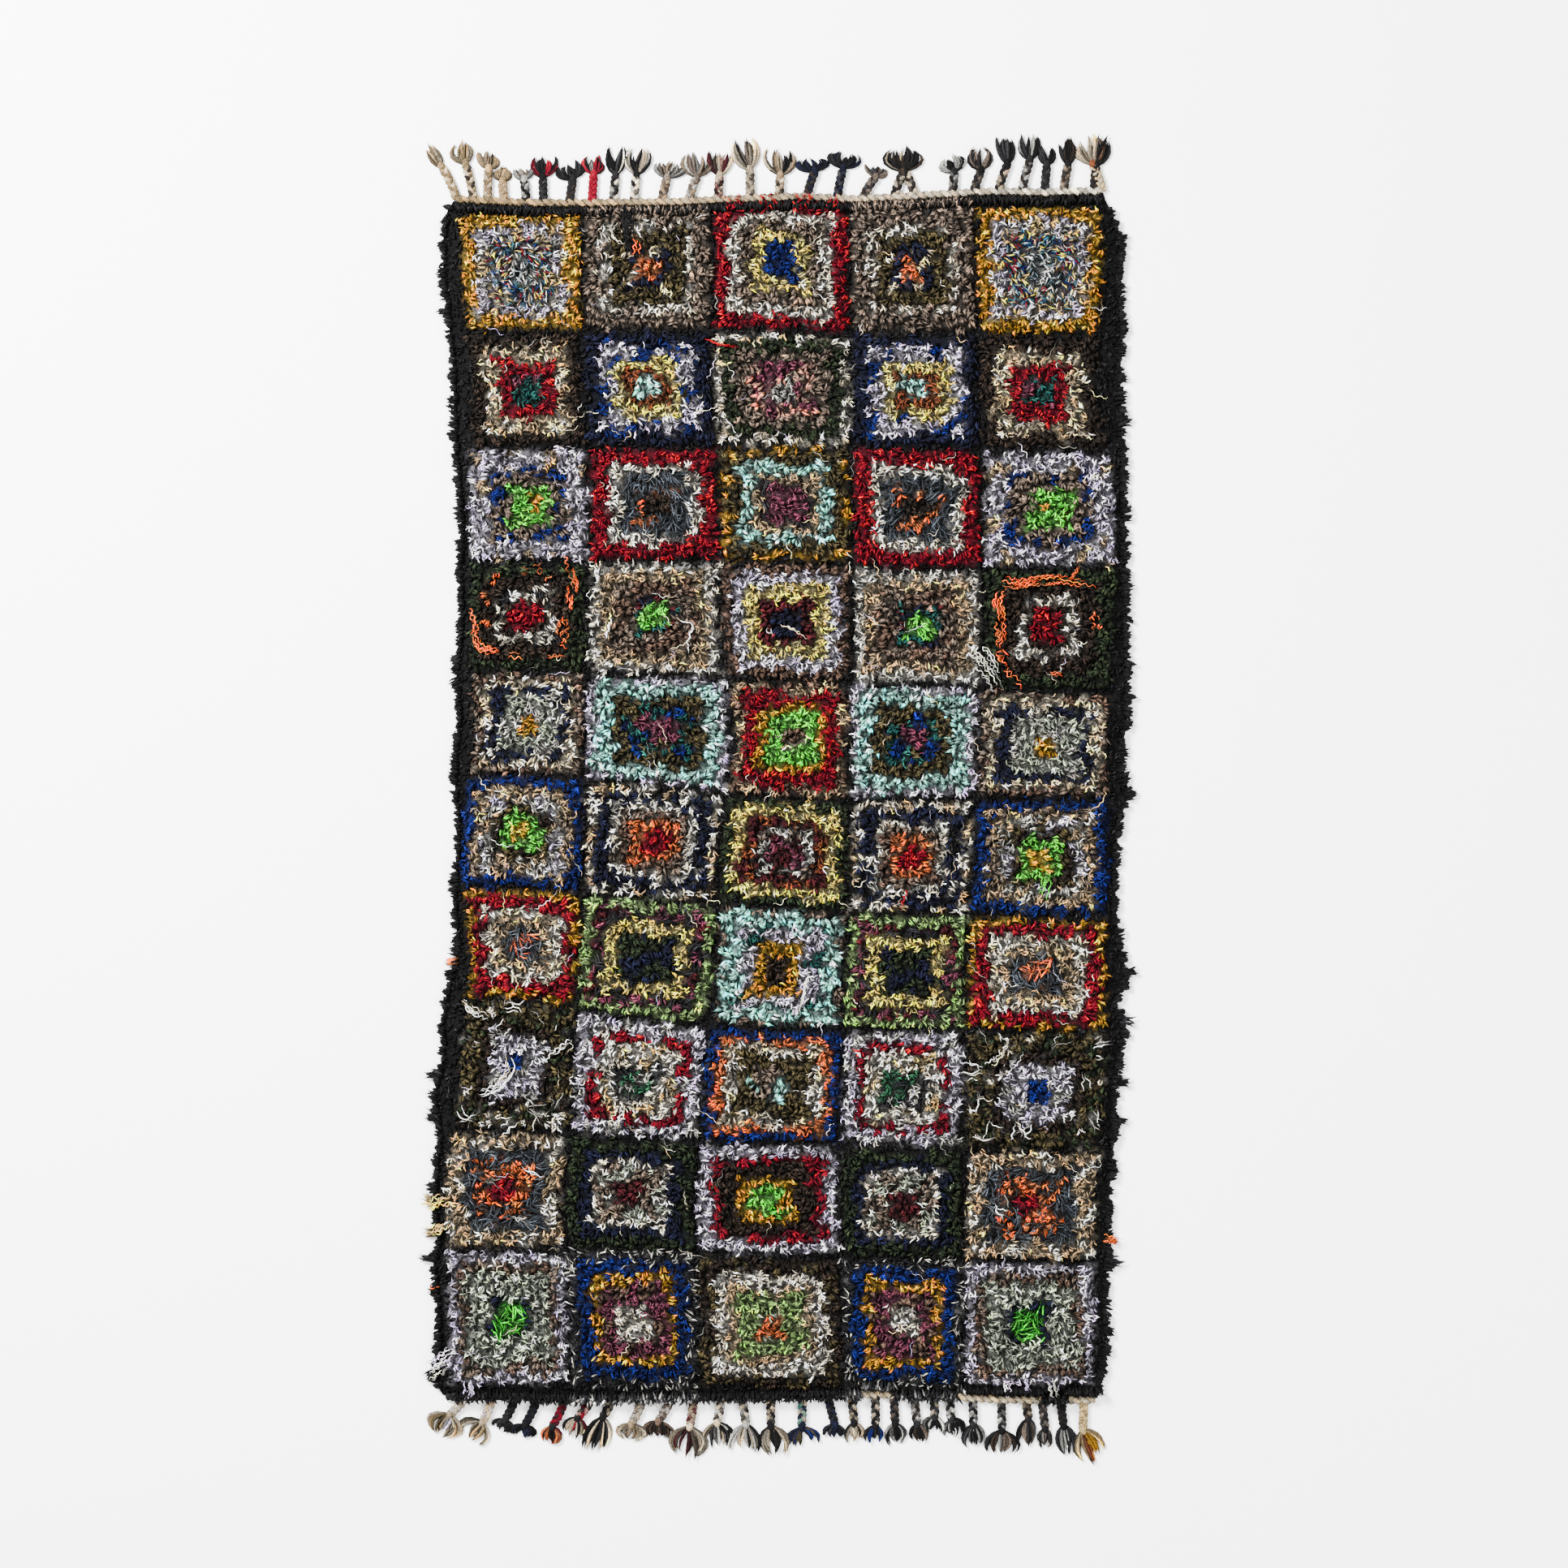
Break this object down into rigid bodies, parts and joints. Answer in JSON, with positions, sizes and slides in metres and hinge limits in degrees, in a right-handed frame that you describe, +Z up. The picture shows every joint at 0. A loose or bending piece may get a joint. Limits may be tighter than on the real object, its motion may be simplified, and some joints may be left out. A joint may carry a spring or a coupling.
{
  "type": "boucherouite rug",
  "caption": "Flat shaggy knotted rug with a grid of concentric squares, a twined heading cord and braided tassels at both ends.",
  "frame": {"origin": "centre of the rug's whole outline on its underside, tassels and rim locks included", "axes": "+X across the rug, +Y along it towards the top fringe, +Z up out of the pile"},
  "size_m": [1.29, 2.386, 0.0287],
  "materials": {
    "pile_yarn": "matt shaggy yarn and rag pile in many colours on black",
    "fringe_yarn": "matt braided and twined yarn, cream to black"
  },
  "bodies": {
    "root": {"pile_field": "pile_yarn", "top_fringe": "fringe_yarn", "bottom_fringe": "fringe_yarn"}
  },
  "joints": []
}
